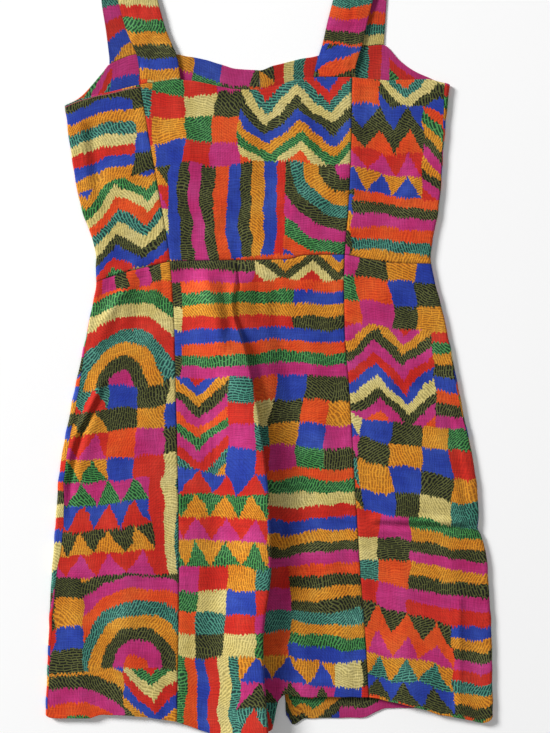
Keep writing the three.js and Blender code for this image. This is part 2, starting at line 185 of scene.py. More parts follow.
# Creases from one end to the other: the large ones that the solids have, then the finer ones.
LARGE_CREASES = table(
    "x1 y1 x2 y2 width height",
    (3, -46, 11, -190, 9, 1.2),
    (-158, -38, -184, -86, 9, 2.6),
    (-160, -20, -172, -44, 8, -1),
    (-182, -140, -200, -215, 9, 2.4),
    (128, -292, 214, -290, 9, 2),
)
FINE_CREASES = table(
    "x1 y1 x2 y2 width height",
    # bodice
    (-205, 150, -165, 160, 5, 0.9),
    (-204, 146, -197, 84, 7, 2.2),
    (-189, 138, -183, 94, 8, -2.4),
    (-190, 60, -150, 32, 6, 0.8),
    (-182, 20, -150, 12, 4, 0.7),
    (-95, 180, -82, 120, 7, 0.8),
    (-60, 30, -38, 78, 6, 0.6),
    (-18, 150, -12, 62, 9, 0.7),
    (38, 190, 50, 128, 7, 0.9),
    (20, 18, 34, 60, 6, 0.8),
    (68, 30, 74, 84, 6, -0.5),
    (130, 182, 178, 160, 6, 0.8),
    (120, 62, 172, 40, 7, -0.7),
    (186, 122, 152, 66, 6, 0.7),
    (176, 22, 140, 14, 4, 0.8),
    # waist, left
    (-170, -18, -181, -42, 4.5, -1.5),
    (-158, -38, -191, -80, 4.5, 1.6),
    (-150, -34, -153, -64, 6, 1.0),
    (-134, -20, -140, -72, 6, -0.8),
    (-116, -12, -119, -40, 4, 0.6),
    # skirt, left side panel
    (-120, -90, -136, -200, 10, 0.9),
    (-160, -262, -150, -400, 12, 1.1),
    (-206, -350, -200, -480, 9, 1.2),
    (-116, -420, -121, -498, 8, 1.0),
    # skirt, centre panel
    (-29.6, -1, -27, -29, 1.5, -1.4),
    (-31, 15, -27, -6, 5, -1.3),
    (-62, -22, -50, -74, 8.5, 4.2),
    (-42, -34, -37, -70, 6, -1.6),
    (-61, -142, -59, -235, 2.4, 0.8),
    (-55, -150, -54, -225, 2, -0.5),
    (-86, -60, -78, -170, 9, 0.9),
    (-52, -14, -48, -60, 5, 0.7),
    (-76, -232, -70, -420, 11, 0.9),
    (-60, -440, -52, -515, 9, 1.1),
    (-8, -8, -6, -42, 5, -0.9),
    (20, -10, 26, -60, 6, 0.7),
    (46, -28, 56, -130, 9, 0.9),
    (60, -180, 76, -330, 11, 1.0),
    (40, -382, 47, -470, 9, 1.1),
    (86, -400, 92, -470, 8, 0.8),
    # skirt, right side panel
    (126, -40, 140, -140, 9, 0.8),
    (160, -60, 178, -122, 8, -0.7),
    (190, -180, 214, -260, 9, 1.0),
    (126, -268, 236, -266, 14, 1.6),
    (126, -282, 234, -286, 3.8, 2.5),
    (128, -289.5, 234, -293.5, 3.6, -2.4),
    (150, -350, 160, -470, 11, 1.0),
    (206, -332, 220, -480, 10, 1.2),
    (215, -374, 214, -488, 3.2, 1.1),
)

# Where each piece was cut from the cloth: the print is shifted by this much.
CUT_SHIFT = {
    "bodice_front_center": (37, 412),
    "bodice_front_side_left": (305, 118),
    "bodice_front_side_right": (-262, 655),
    "bodice_back_left": (140, -380),
    "bodice_back_right": (-460, 240),
    "skirt_front_center": (12, 20),
    "skirt_front_side_left": (-330, 760),
    "skirt_front_side_right": (520, -240),
    "skirt_back_left": (770, 96),
    "skirt_back_right": (-815, -60),
    "strap_front_left": (210, -515),
    "strap_front_right": (-90, 905),
    "strap_back_left": (433, 333),
    "strap_back_right": (-610, -410),
}
FACING_ROLL = {"bodice_front_side_left": 2.2}  # how much of the inner facing shows at the armhole
FACING_SHIFT = (150.0, 263.0)  # where that facing was cut from the cloth


def read(rows, column, at, key="y"):
    """One column of a table on a smooth curve through its rows that never overshoots them."""
    places, values = rows[key], rows[column]
    spans = np.diff(places)
    slopes = np.diff(values) / spans
    before, after = slopes[:-1], slopes[1:]
    turning = before * after <= 0
    inner = np.where(turning, 0, 2 * before * after / np.where(turning, 1, before + after))
    tangents = np.concatenate([slopes[:1], inner, slopes[-1:]])
    at = np.clip(at, places[0], places[-1])
    i = np.clip(np.searchsorted(places, at) - 1, 0, len(spans) - 1)
    t = (at - places[i]) / spans[i]
    rise = values[i + 1] - values[i]
    lean, leave = spans[i] * tangents[i], spans[i] * tangents[i + 1]
    return values[i] + t * (lean + t * (3 * rise - 2 * lean - leave + t * (lean + leave - 2 * rise)))


def across(outline, x):
    return read(outline, "y", x, key="x")


def smoothstep(at, low, high):
    t = np.clip((at - low) / (high - low), 0, 1)
    return t * t * (3 - 2 * t)


def mix(a, b, t):
    return a + (b - a) * t


# Form of the laid cloth


def turned_edge(reach):
    """The turned edge: how far in from the dress's edge, and how high, the cloth is at a distance
    along it from its outermost point, positive on the upper side."""
    beyond = np.abs(reach) - QUARTER_TURN
    angle = np.clip(reach / EDGE_RADIUS, -math.pi / 2, math.pi / 2)
    inward = CLOTH / 2 + EDGE_RADIUS * (1 - np.cos(angle)) + np.maximum(beyond, 0)
    return inward, TURN_LEVEL + EDGE_RADIUS * np.sin(angle)


def reach_at(inward):
    return QUARTER_TURN + inward - CLOTH / 2 - EDGE_RADIUS


def cloth_in(reach):
    """How far in from the edge the point would lie if the cloth were opened flat."""
    return reach - QUARTER_TURN + CLOTH / 2 + EDGE_RADIUS


CREASE_END = 2  # a crease fades out past its ends over this many of its widths


def creases(rows, x, y):
    """The height of soft ridges and troughs, each from one point to another."""
    height = np.zeros_like(x)
    for x1, y1, x2, y2, width, tall in zip(*rows.values()):
        length = math.hypot(x2 - x1, y2 - y1)
        along = ((x - x1) * (x2 - x1) + (y - y1) * (y2 - y1)) / length
        aside = ((x - x1) * (y2 - y1) - (y - y1) * (x2 - x1)) / length
        past = np.maximum(np.maximum(-along, along - length), 0)
        height += tall * np.exp(-((aside / width) ** 2) - (past / width / CREASE_END) ** 2)
    return height


# Waves that add up to an uneven line: height, rate, step between two lines, and start.
RIPPLES = ((0.5, 0.71, 1.3, 0), (0.3, 0.437, 2.1, 1), (0.2, 1.13, 0.7, 2))
# Each seam and free edge is uneven in its own way.
LEFT_SEAM, RIGHT_SEAM, WAIST_SEAM, FREE_EDGE, SIDE_EDGE = range(1, 6)


def ripple(along, line):
    """An uneven wave along a seam or an edge, from -1 to 1."""
    waves = (tall * np.sin(along * rate + step * line + start) for tall, rate, step, start in RIPPLES)
    return sum(waves)


GROOVE_DEPTH = 0.75
GROOVE_WIDTH = 1.1
ALLOWANCE_RISE = 0.45
ALLOWANCE_EDGE = (8, 12)  # where the rise of the seam allowance ends
PUCKER_HEIGHT = 0.32
PUCKER_WIDTH = 9


def seam_relief(distance, along, line):
    """A stitched seam: a groove, the soft rise of the allowances under it, and its puckers."""
    near = np.abs(distance)
    groove = -GROOVE_DEPTH * np.exp(-((near / GROOVE_WIDTH) ** 2))
    allowance = ALLOWANCE_RISE * (1 - smoothstep(near, *ALLOWANCE_EDGE))
    pucker = PUCKER_HEIGHT * ripple(along, line) * np.exp(-((near / PUCKER_WIDTH) ** 2))
    return groove + allowance + pucker


# Low waves: height, rates across and along the dress, and the size and rates of their sway.
CRUMPLES = (
    (0.26, 0.105, 0.031, 1.7, 0, 0.021),
    (0.22, -0.043, 0.128, 1.9, 0.027, 0),
    (0.13, 0.19, 0.15, 2.2, 0.035, -0.02),
)


def crumple(x, y):
    """The low unevenness of linen that has been worn and smoothed by hand."""
    height = np.zeros_like(x)
    for tall, rate_x, rate_y, sway, sway_x, sway_y in CRUMPLES:
        bend = sway * np.sin(sway_x * x + sway_y * y)
        height += tall * np.sin(rate_x * x + rate_y * y + bend)
    return height


def loft(x, y):
    """How far the front lies above its own level."""
    height = np.zeros_like(x)
    for cx, cy, wide, tall, rise in zip(*SWELLS.values()):
        height += rise * np.exp(-(((x - cx) / wide) ** 2) - ((y - cy) / tall) ** 2)
    height += creases(LARGE_CREASES, x, y) + creases(FINE_CREASES, x, y) + crumple(x, y)
    height += seam_relief(x - read(BODY, "seam_left", y), y, LEFT_SEAM)
    height += seam_relief(x - read(BODY, "seam_right", y), y, RIGHT_SEAM)
    height += seam_relief(y - across(FRONT_WAIST, x), x, WAIST_SEAM)
    return height


def settle(v, place, lower, upper):
    """The place and height of points that lie a share v of the way from one outline to another."""
    y = np.zeros_like(v) + (lower(np.zeros(1)) + upper(np.zeros(1))) / 2
    for _ in range(SETTLE_ROUNDS):
        x = place(y)
        y = mix(lower(x), upper(x), v)
    return place(y), y


EDGE_WANDER = 0.4  # how far a hem or top edge leaves its line
EDGE_PACE = 0.32  # how slowly it does so, next to the ripples of a seam
SIDE_WANDER = 0.45
SIDE_PACE = 0.3


def uneven(x):
    """How far a free edge wanders from its line."""
    return EDGE_WANDER * ripple(EDGE_PACE * x, FREE_EDGE)


def below(outline):
    return lambda x: across(outline, x) - SEAM_GAP / 2


def above(outline):
    return lambda x: across(outline, x) + SEAM_GAP / 2


def free_edge(outline):
    return lambda x: across(outline, x) + uneven(x)


INWARDS = {"left": 1, "right": -1}
# Shares of a panel's columns, counted from its first edge, at which each stretch ends.
ROLL_SHARE = 0.12
SIDE_SHARE = 0.34
FLAT_SHARE = 0.6
FLANK_SHARE = 0.3
FOLD_SHARE = 0.55
SHADE_SHARE = 0.67
STRAP_SHARE = 0.95
# The fold over each hip: widths of its ridge and hollow, and the distance between them.
HIP_RIDGE = 3.8
HIP_HOLLOW = 4.2
HIP_STEP = 7
# A strap's long edges roll down by this much, more steeply towards the edge.
STRAP_ROLL = 0.9
STRAP_CROWN = 6


def on_grain(x, y, v, lower, upper):
    """Height in the cloth, whose grain follows the hem at the hem and the seam at the top."""
    return y - (lower(x) - np.mean(lower(x))) * (1 - v) - (upper(x) - np.mean(upper(x))) * v


def hip_fold(side, y, past_seam):
    """The height of the fold over one hip at a distance past the side seam."""
    rows = HIP_FOLD[side]
    aside = past_seam - read(rows, "past", y)
    ridge = read(rows, "rise", y) * np.exp(-((aside / HIP_RIDGE) ** 2))
    hollow = read(rows, "dip", y) * np.exp(-(((aside - HIP_STEP) / HIP_HOLLOW) ** 2))
    return ridge - hollow


def side_line(side, y):
    """The dress's outer edge."""
    return read(BODY, side, y) + INWARDS[side] * SIDE_WANDER * ripple(SIDE_PACE * y, SIDE_EDGE)


def front_side(side, lower, upper):
    """A front side panel, from the side seam (u = 0) to the princess seam."""

    def at(u, v):
        def reach(y):
            seam = read(BODY, "over_" + side, y) + SEAM_GAP / 2
            rolled = np.maximum(seam, QUARTER_TURN) + ROLL_MARGIN
            width = np.abs(read(BODY, "seam_" + side, y) - read(BODY, side, y))
            princess = reach_at(width) - SEAM_GAP / 2
            flat = mix(rolled, princess, (u - ROLL_SHARE) / (1 - ROLL_SHARE))
            return np.where(u < ROLL_SHARE, mix(seam, rolled, u / ROLL_SHARE), flat)

        def place(y):
            return side_line(side, y) + INWARDS[side] * turned_edge(reach(y))[0]

        x, y = settle(v, place, lower, upper)
        inward, z = turned_edge(reach(y))
        past_seam = reach(y) - read(BODY, "over_" + side, y)
        z = z + loft(x, y) * smoothstep(inward, 0, SIDE_FADE) + hip_fold(side, y, past_seam)
        cloth_x = read(BODY, side, y) + INWARDS[side] * cloth_in(reach(y))
        return np.stack([x, y, z, cloth_x, on_grain(x, y, v, lower, upper)], -1)

    return at


def front_centre_bodice(u, v):
    """The bodice front's centre panel, from one princess seam to the other."""

    def place(y):
        left, right = read(BODY, "seam_left", y), read(BODY, "seam_right", y)
        return mix(left + SEAM_GAP / 2, right - SEAM_GAP / 2, u)

    lower, upper = above(FRONT_WAIST), free_edge(FRONT_TOP)
    x, y = settle(v, place, lower, upper)
    return np.stack([x, y, FRONT_LEVEL + loft(x, y), x, y], -1)


def fold_section(y, share):
    """The centre fold at height y: where it starts and ends, how tall it is, and the point that
    lies a share of the way along its cloth, with that way's length."""
    turn = np.radians(read(CENTRE_FOLD, "turn", y))
    radius, run = read(CENTRE_FOLD, "radius", y), read(CENTRE_FOLD, "run", y)
    start = read(CENTRE_FOLD, "crest", y) - radius * np.sin(np.minimum(turn, math.pi / 2))
    arc = radius * turn
    half_x, half_z = radius * np.sin(turn), radius * (1 - np.cos(turn))
    height = 2 * half_z + run * np.sin(turn)
    end = start + 2 * half_x + run * np.cos(turn)
    length = 2 * arc + run
    way = share * length
    first, last = way / radius, (length - way) / radius
    gone = way - arc
    spots = [way < arc, way < arc + run]
    x = np.select(
        spots,
        [start + radius * np.sin(first), start + half_x + gone * np.cos(turn)],
        end - radius * np.sin(last),
    )
    z = np.select(
        spots,
        [height - radius * (1 - np.cos(first)), height - half_z - gone * np.sin(turn)],
        radius * (1 - np.cos(last)),
    )
    return start, end, height, x, z, length


def front_centre_skirt(u, v):
    """The flank left of the fold, the fold, and the cloth that runs out from under it."""
    in_flank, in_fold, in_shade = u < FLANK_SHARE, u < FOLD_SHARE, u < SHADE_SHARE
    share = np.clip((u - FLANK_SHARE) / (FOLD_SHARE - FLANK_SHARE), 0, 1)

    def piece(y):
        start, end, height, x_fold, z_fold, length = fold_section(y, share)
        seam_left = read(BODY, "seam_left", y) + SEAM_GAP / 2
        seam_right = read(BODY, "seam_right", y) - SEAM_GAP / 2
        shade = read(CENTRE_FOLD, "crest", y) + FOLD_SHADE
        x_flank = mix(seam_left, start, u / FLANK_SHARE)
        x_shade = mix(end, shade, (u - FOLD_SHARE) / (SHADE_SHARE - FOLD_SHARE))
        x_right = mix(shade, seam_right, (u - SHADE_SHARE) / (1 - SHADE_SHARE))
        spots = [in_flank, in_fold, in_shade]
        x = np.select(spots, [x_flank, x_fold, x_shade], x_right)
        lift = read(CENTRE_FOLD, "lift", y)
        full = start - read(CENTRE_FOLD, "early", y)
        rise = (height + lift) * smoothstep(x_flank, start - FOLD_FLANK, full)
        gone = np.clip((x - end) / FOLD_LEE, 0, 1)
        fall = lift * (1 - mix(gone, smoothstep(gone, 0, 1), FOLD_LEE_EASE))
        z = np.select(spots[:2], [rise, z_fold + lift], fall)
        cloth_x = np.select(spots[:2], [x_flank, start + share * length], x + start + length - end)
        return x, z, cloth_x

    def hem(x):
        line = np.where(in_fold, across(FRONT_HEM_LEFT, x), across(FRONT_HEM_RIGHT, x))
        return line + uneven(x)

    upper = below(FRONT_WAIST)
    x, y = settle(v, lambda at: piece(at)[0], hem, upper)
    x, z, cloth_x = piece(y)
    return np.stack([x, y, FRONT_LEVEL + z + loft(x, y), cloth_x, y], -1)


def back_half(side, lower, upper):
    """A back half, flat on the table from the centre back and up over the edge."""

    def at(u, v):
        def reach(y):
            seam = read(BODY, "over_" + side, y) - SEAM_GAP / 2
            parting = read(CENTRE_BACK, "part", y) / 2 + SEAM_GAP / 2
            centre = read(CENTRE_BACK, "x", y) - INWARDS[side] * parting
            flat = -reach_at(np.abs(centre - read(BODY, side, y)))
            rolled = -QUARTER_TURN - ROLL_MARGIN
            turned = mix(rolled, seam, (u - FLAT_SHARE) / (1 - FLAT_SHARE))
            return np.where(u < FLAT_SHARE, mix(flat, rolled, u / FLAT_SHARE), turned)

        def place(y):
            return side_line(side, y) + INWARDS[side] * turned_edge(reach(y))[0]

        x, y = settle(v, place, lower, upper)
        _, z = turned_edge(reach(y))
        past_seam = reach(y) - read(BODY, "over_" + side, y)
        z = z + hip_fold(side, y, past_seam) * smoothstep(reach(y), 0, QUARTER_TURN)
        cloth_x = read(BODY, side, y) - INWARDS[side] * cloth_in(reach(y))
        return np.stack([x, y, z, cloth_x, on_grain(x, y, v, lower, upper)], -1)

    return at


def strap(side, layer, base):
    """A strap from its base seam (v = 0) to the shoulder, where it turns over."""
    line, shoulder = STRAP_LINE[layer, side], SHOULDER[side]
    upper = 1 if layer == "front" else -1

    def at(u, v):
        def place(y):
            return read(line, "x", y) + (u - 0.5) * STRAP_WIDTH

        foot = np.zeros_like(u) + line["y"][0]
        for _ in range(SETTLE_ROUNDS):
            foot = base(place(foot)) + SEAM_GAP
        reach = upper * mix(reach_at(shoulder - foot), SEAM_GAP / 2, v)
        inward, z = turned_edge(reach)
        y = shoulder - inward
        x = place(y)
        if layer == "front":
            roll = -STRAP_ROLL * np.abs(2 * u - 1) ** STRAP_CROWN
            z = z + (loft(x, y) + roll) * smoothstep(inward, 0, SIDE_FADE)
        return np.stack([x, y, z, (u - 0.5) * STRAP_WIDTH, shoulder - cloth_in(np.abs(reach))], -1)

    return at


# Meshes


def spaced(length, spacing=FINE):
    """Numbers from 0 to 1 for points along cloth of that length, closer together at both ends."""
    rim = [r / length for r in RIM]
    values = np.linspace(0, 1, round(length / spacing) + 1)
    clear = RIM_CLEAR * rim[-1]
    inner = {v for v in values if clear < v < 1 - clear}
    ends = {0.0, 1.0} | set(rim) | {1 - r for r in rim}
    return np.array(sorted(inner | ends))


def stretch(spans):
    """Numbers from 0 to 1 where each span, up to its share, has its own length in millimetres."""
    values, low = [0.0], 0.0
    total = len(spans)
    for number, (high, length) in enumerate(spans):
        count = max(2, round(length / FINE))
        steps = np.linspace(0, 1, count + 1)
        rims = np.array([r / length for r in RIM])
        if number == 0:
            steps = np.concatenate([[0], rims, steps[steps > RIM_CLEAR * rims[-1]]])
        if number == total - 1:
            steps = np.concatenate([steps[steps < 1 - RIM_CLEAR * rims[-1]], 1 - rims[::-1], [1]])
        values += list(low + (high - low) * steps[1:])
        low = high
    return np.array(values)


# Where the tables' origin lies in the row frame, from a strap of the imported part.
box_low, box_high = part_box("strap_back_left")
SHIFT_X = box_low.x / MM - (STRAP_LINE["back", "left"]["x"][-1] - STRAP_WIDTH / 2)
SHIFT_Y = box_high.y / MM - SHOULDER["left"]


EDGE_SHARE = 0.2  # of the wall's thickness, left at its very edge
HEM_BULK = 0.35  # how much thicker the cloth is where it is turned under
TOP_TURNING = (7, 10)  # where the turning of a top edge ends
HEM_TURNING = (18, 22)
SEAM_PAINTED_SHADE = 0.42  # how dark the painted shade at a seam is, and over what distance
SEAM_PAINTED_SHADE_WIDTH = 0.8
NO_SEAM = 99  # a distance at which no painted shade falls
PROBE_COLUMN = 2  # the column where it is told which way a shell looks


def edge_taper(places, length):
    """The share of the wall's thickness at each place: the edges are rounded over."""
    from_edge = np.minimum(places, 1 - places) * length
    depth = np.clip(from_edge / (CLOTH / 2), 0, 1)
    return np.sqrt(1 - (1 - depth) ** 2) * (1 - EDGE_SHARE) + EDGE_SHARE


def half_thickness(u, v, size, hems):
    """Half the wall's thickness, with more along the free edges that are turned under."""
    half = CLOTH / 2 * edge_taper(u, size[0]) * edge_taper(v, size[1])
    if "top" in hems:
        half = half * (1 + HEM_BULK * (1 - smoothstep((1 - v) * size[1], *TOP_TURNING)))
    if "bottom" in hems:
        half = half * (1 + HEM_BULK * (1 - smoothstep(v * size[1], *HEM_TURNING)))
    return half


def seam_painted_shade(u, v, size, hems):
    """Painted shade at the seams: how much light the cloth gives back near them, darkened as if in the
    shadow where it dips under the thread.
    """
    aside = np.minimum(u, 1 - u) * size[0]
    down = np.where("bottom" in hems, NO_SEAM, v * size[1])
    up = np.where("top" in hems, NO_SEAM, (1 - v) * size[1])
    near = np.minimum(aside, np.minimum(down, up))
    return 1 - SEAM_PAINTED_SHADE * np.exp(-((near / SEAM_PAINTED_SHADE_WIDTH) ** 2))


def shell_faces(rows, columns):
    """The quads of a closed shell of two grids: one side, the other side and the rims."""
    number = np.arange(rows * columns).reshape(rows, columns)
    a, b, c, d = number[:-1, :-1], number[:-1, 1:], number[1:, 1:], number[1:, :-1]
    first_side = np.stack([a, b, c, d], -1).reshape(-1, 4)
    other_side = np.stack([a, d, c, b], -1).reshape(-1, 4) + rows * columns
    rims = []
    for line, flip in (
        (number[0], False), (number[-1], True), (number[:, 0], True), (number[:, -1], False)
    ):
        under = line + rows * columns
        quads = np.stack([line[:-1], under[:-1], under[1:], line[1:]], -1)
        rims.append(quads[:, ::-1] if flip else quads)
    return first_side, other_side, rims


def laid_area(points):
    """The area of a grid of points in square metres, from the diagonals of its cells."""
    rising = points[1:, 1:] - points[:-1, :-1]
    falling = points[1:, :-1] - points[:-1, 1:]
    cells = np.linalg.norm(np.cross(rising, falling), axis=-1) / 2
    return float(cells.sum()) * MM * MM


def wall(name, us, vs, at, facing, size, hems=()):
    """A closed shell of cloth about the mid-surface at(u, v), with its flat size and its area.

    facing is 1 where the cloth's right side looks up beside the grid's first edge, and -1 where
    it looks down. size is the rough width and length. Along the free edges named in hems the
    cloth is thicker, as it is turned under there."""
    u, v = np.meshgrid(us, vs)
    here = at(u, v)
    along_u = (at(u + SLOPE_STEP, v) - at(u - SLOPE_STEP, v))[..., :3]
    along_v = (at(u, v + SLOPE_STEP) - at(u, v - SLOPE_STEP))[..., :3]
    normal = np.cross(along_u, along_v)
    normal /= np.linalg.norm(normal, axis=-1, keepdims=True)
    up = normal[len(vs) // 2, PROBE_COLUMN, 2] * facing > 0
    if not up:
        normal = -normal
    middle = here[..., :3]
    offset = normal * half_thickness(u, v, size, hems)[..., None]
    points = np.stack([middle + offset, middle - offset])
    points[..., 2] = np.maximum(points[..., 2], 0)
    points = (points + [SHIFT_X, SHIFT_Y, 0]) * MM
    right_side, wrong_side, rims = shell_faces(*u.shape)
    faces = np.concatenate([right_side, wrong_side, *rims])
    if not up:
        faces = faces[:, ::-1]
    mesh = bpy.data.meshes.new(name)
    mesh.from_pydata(points.reshape(-1, 3).tolist(), [], faces.tolist())
    kind = np.zeros(len(faces), np.int32)
    kind[len(right_side):len(right_side) + len(wrong_side)] = 1
    mesh.polygons.foreach_set("material_index", kind)
    mesh.polygons.foreach_set("use_smooth", np.ones(len(faces), bool))
    rolled_out = (1 - v) * size[1] < FACING_ROLL.get(name, 0)
    cut = (here[..., 3:] + CUT_SHIFT[name] + rolled_out[..., None] * np.array(FACING_SHIFT)) * MM
    flat = np.concatenate([cut.reshape(-1, 2)] * 2)
    corners = np.zeros(len(mesh.loops), np.int32)
    mesh.loops.foreach_get("vertex_index", corners)
    mesh.uv_layers.new(name="cloth").uv.foreach_set("vector", flat[corners].astype(np.float32).ravel())
    # painted shade along the seams, kept on the points
    shade = mesh.attributes.new("seam", "FLOAT", "POINT")
    shade.data.foreach_set("value", np.concatenate([seam_painted_shade(u, v, size, hems).ravel()] * 2))
    mesh.update()
    piece = bpy.data.objects.new(name + "_cloth", mesh)
    bpy.context.scene.collection.objects.link(piece)
    for material in (PRINT, PRINT_WRONG_SIDE_PAINTED_SHADE):
        mesh.materials.append(material)
    size_m = np.ptp(here[..., 3:].reshape(-1, 2), axis=0) * MM
    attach(piece, "root")
    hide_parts(name)
    return piece, tuple(float(s) for s in size_m), laid_area(middle)


# Materials


class Tree:
    """Short calls for the nodes of one material."""

    def __init__(self, name):
        self.material = bpy.data.materials.new(name)
        self.material.use_nodes = True
        self.nodes = self.material.node_tree.nodes
        self.links = self.material.node_tree.links
        self.shader = self.nodes["Principled BSDF"]

    def add(self, kind, inputs=(), **settings):
        node = self.nodes.new("ShaderNode" + kind)
        for key, value in settings.items():
            setattr(node, key, value)
        for key, value in dict(inputs).items():
            self.set(node.inputs[key], value)
        return node

    def set(self, socket, value):
        if isinstance(value, bpy.types.NodeSocket):
            self.links.new(value, socket)
        else:
            socket.default_value = value

    def math(self, operation, a, b=0.0, c=0.0, clamp=False):
        node = self.add("Math", {0: a, 1: b, 2: c}, operation=operation, use_clamp=clamp)
        return node.outputs[0]

    def noise(self, vector, scale, detail=1.0, roughness=0.5):
        sockets = {"Vector": vector, "Scale": scale, "Detail": detail, "Roughness": roughness}
        return self.add("TexNoise", sockets).outputs["Fac"]

    def hash(self, x, y, z=0.0):
        vector = self.add("CombineXYZ", {0: x, 1: y, 2: z}).outputs[0]
        return self.add("TexWhiteNoise", {"Vector": vector}, noise_dimensions="3D")

    def soft_step(self, at, low, high):
        node = self.add("MapRange", {0: at, 1: low, 2: high}, interpolation_type="SMOOTHSTEP")
        return node.outputs[0]

    def scaled(self, vector, factors):
        return self.add("VectorMath", {0: vector, 1: factors}, operation="MULTIPLY").outputs[0]

    def choose(self, switch, a, b):
        """b where switch is 1, a where it is 0."""
        return self.add("Mix", {0: switch, 2: a, 3: b}).outputs[0]

    def blend(self, share, a, b, mode="MIX"):
        node = self.add("Mix", {0: share, 6: a, 7: b}, data_type="RGBA", blend_type=mode)
        return node.outputs[2]

    def ramp(self, at, dyes, strokes=False):
        """The dye of a number from 0 to 1: its colour, or its strokes' colour and strength."""
        node = self.add("ValToRGB", {0: at})
        node.color_ramp.interpolation = "CONSTANT"
        elements = node.color_ramp.elements
        while len(elements) < len(dyes):
            elements.new(1.0)
        edge = 0.0
        for element, (share, ground, stroke, strength) in zip(elements, dyes):
            element.position = edge
            element.color = (*linear(*stroke), strength) if strokes else (*linear(*ground), 1)
            edge += share
        return node


DARKEST_CURVED = 10  # display values up to this one are on the straight foot of the curve


def linear(*display):
    """A display colour, from 0 to 255, as the scene's linear colour."""
    return tuple(
        c / 255 / 12.92 if c <= DARKEST_CURVED else ((c / 255 + 0.055) / 1.055) ** 2.4
        for c in display
    )


# The dyes: share of the cloth, printed colour, and the colour and strength of the strokes over it.
DYES = [
    (0.12, (208, 44, 26), (168, 28, 18), 0.45),
    (0.08, (230, 88, 26), (194, 50, 16), 0.6),
    (0.15, (232, 156, 40), (150, 86, 16), 0.75),
    (0.06, (224, 206, 132), (142, 130, 70), 0.6),
    (0.13, (194, 50, 122), (168, 34, 102), 0.4),
    (0.13, (43, 71, 170), (32, 52, 140), 0.45),
    (0.07, (84, 156, 134), (12, 54, 56), 0.95),
    (0.08, (82, 156, 84), (10, 54, 34), 0.95),
    (0.18, (96, 100, 50), (16, 17, 7), 1.0),
]


# Sizes of the print, in metres of cloth. Scales of noise are in waves for each metre.
WOBBLE_SCALE = 14.0  # how the whole print wanders, as if drawn by hand
WOBBLE = 0.032
TOOTH_PITCH = 0.0033
TOOTH_ROW = 0.017  # height over which the teeth keep their lengths
TOOTH_LEAST = 0.0012
TOOTH_SPREAD = 0.0072
SIDE_TEETH = 0.4  # of the length of the teeth along the bands
PATCH_WIDTH = 0.128
PATCH_HEIGHT = 0.104
GOLDEN = 0.382  # a step whose repeats never fall together
BAND = 0.0132
CHECK_WIDTH = 0.032
CHECK_HEIGHT = 0.026
PEAK_WIDTH = 0.032
PEAK_SLOPE = 0.9
ZIGZAG = 0.0125
ARC = 0.0145
TRIANGLE_WIDTH = 0.016
TRIANGLE_HEIGHT = 0.026
# Draws above these give a patch checks, zigzags, arcs or triangles in place of bands.
MOTIF_STARTS = (0.30, 0.56, 0.72, 0.88)
UPRIGHT = 0.66  # draws above this turn a patch's bands upright
PATCH_STRIDE = 13.0  # gives each patch a number of its own
CHECK_STRIDE = 7.0
DYE_DRAW, STROKE_DRAW, FIRST_DRAW = 3.0, 5.0, 11.0  # separate draws for the same patch
DYE_SPREAD = 0.16  # how unevenly one band's dye follows from the last
SLANT = 1.5  # spread of the strokes' slants, in radians
SWEEP_SCALE = 34.0  # how the strokes bend and waver
SWEEP = 0.0075
TREMOR_SCALE = 180.0
TREMOR = 0.0014
STROKE_PITCH = 0.00255
STROKE_LENGTH = 0.0068
STROKE_SWELL = 0.15  # how much wider strong strokes are
STROKE_EDGE = (0.28, 0.40)  # where a stroke begins and is full, across it
STROKE_END = (0.02, 0.10)  # the same along it
WARP = (820.0, 52.0, 1.0)  # threads for each metre, and how often one changes along its length
WEFT = (44.0, 800.0, 1.0)
CLOUD_SCALE = 26.0  # patches where the cloth took more or less dye
DYE_DEPTH = (0.6, 0.9)  # least depth of the dye, and how far the clouds change it
THREAD_TONE = (0.3, 0.7)
ROUGHNESS = (0.78, 0.14)
THREAD_RELIEF = 0.0006


